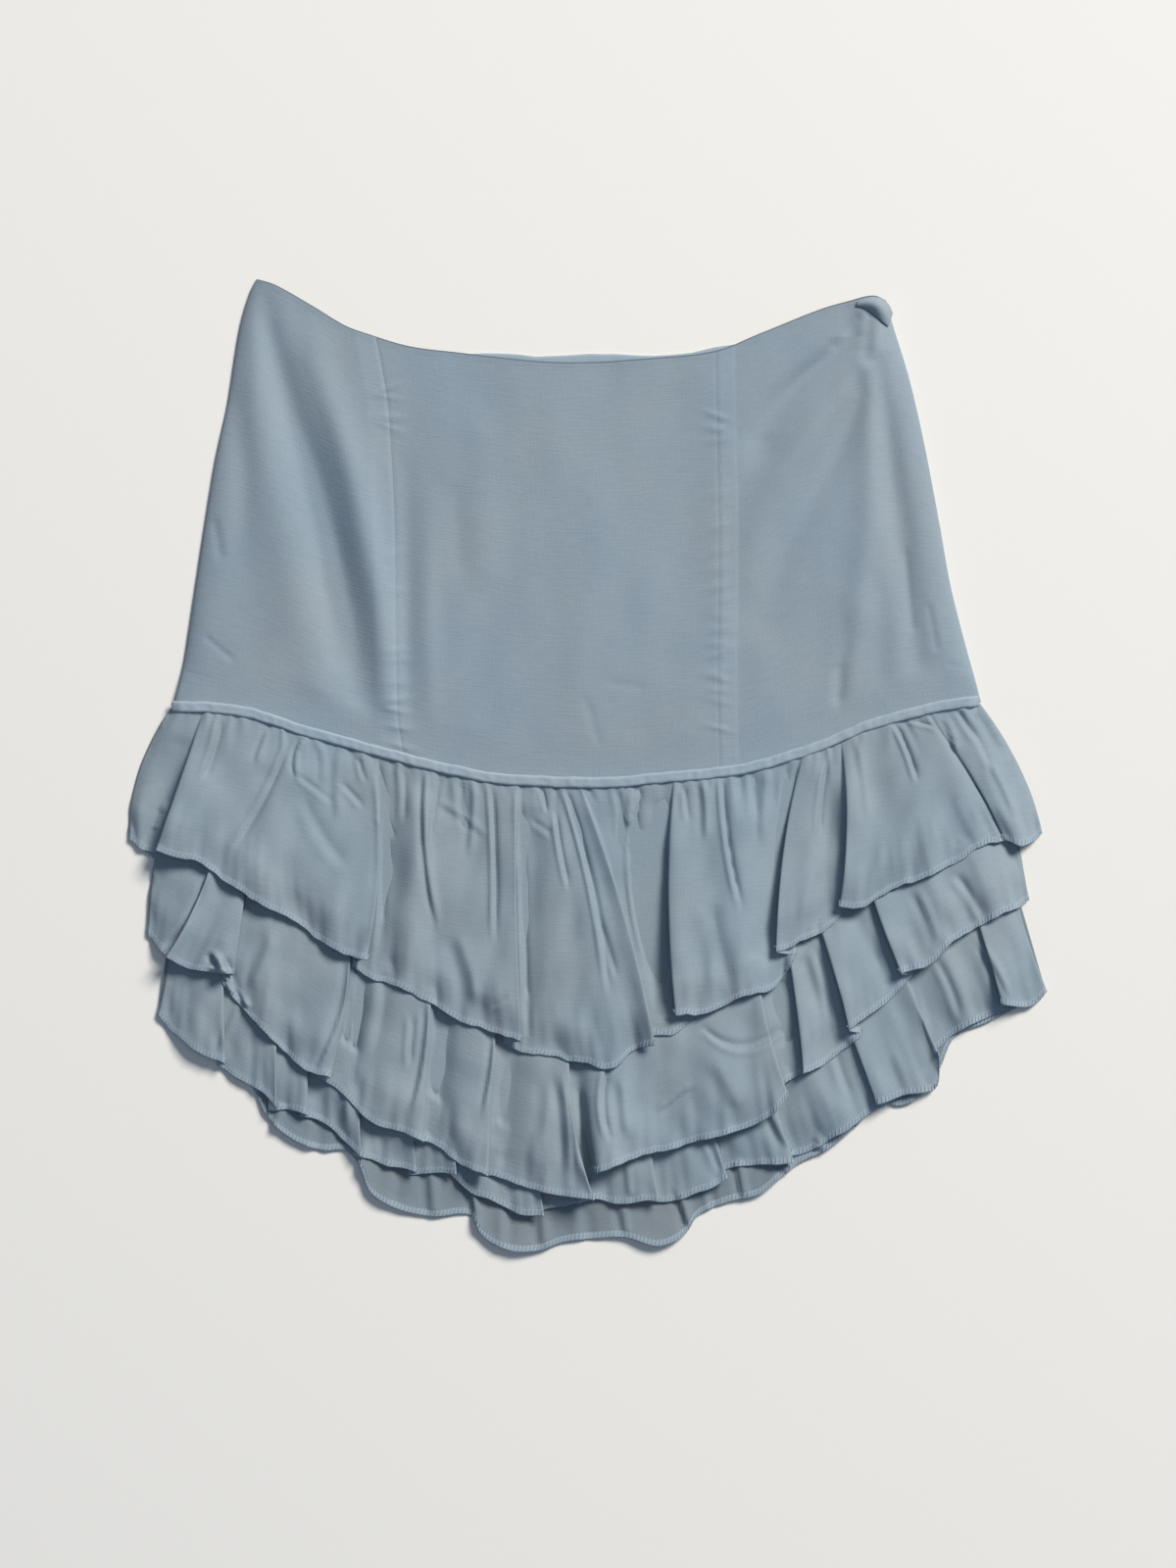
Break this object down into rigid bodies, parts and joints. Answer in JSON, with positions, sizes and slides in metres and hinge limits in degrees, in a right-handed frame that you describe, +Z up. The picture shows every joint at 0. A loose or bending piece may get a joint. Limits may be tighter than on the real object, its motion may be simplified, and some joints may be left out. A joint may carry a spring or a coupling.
{
  "type": "ruffled mini skirt, laid flat",
  "caption": "Mini skirt laid flat: a fitted yoke in panels with a curved waist, a bias-bound curved seam and shingled tiers of gathered ruffles with overlocked hems.",
  "frame": {"origin": "middle of the garment's outline, on the surface that it lies on", "axes": "+Z up from the surface towards the skirt's front, +Y from the hem to the waist, +X to the right as seen from above"},
  "size_m": [0.5149, 0.5443, 0.0192],
  "materials": {
    "yoke_cloth": "matte, fine plain weave with faint slubs",
    "ruffle_cloth": "matte, fine plain weave, gathered and soft",
    "binding_cloth": "matte, smooth bias strip"
  },
  "bodies": {
    "root": {"yoke_back": "yoke_cloth", "yoke_front_left": "yoke_cloth", "yoke_front_centre": "yoke_cloth", "yoke_front_right": "yoke_cloth", "waist_corner_fold": "yoke_cloth", "base_front": "ruffle_cloth", "base_back": "ruffle_cloth", "ruffle_front_1": "ruffle_cloth", "ruffle_front_2": "ruffle_cloth", "ruffle_front_3": "ruffle_cloth", "ruffle_back_1": "ruffle_cloth", "ruffle_back_2": "ruffle_cloth", "ruffle_back_3": "ruffle_cloth", "binding_front": "binding_cloth", "binding_back": "binding_cloth"}
  },
  "joints": []
}
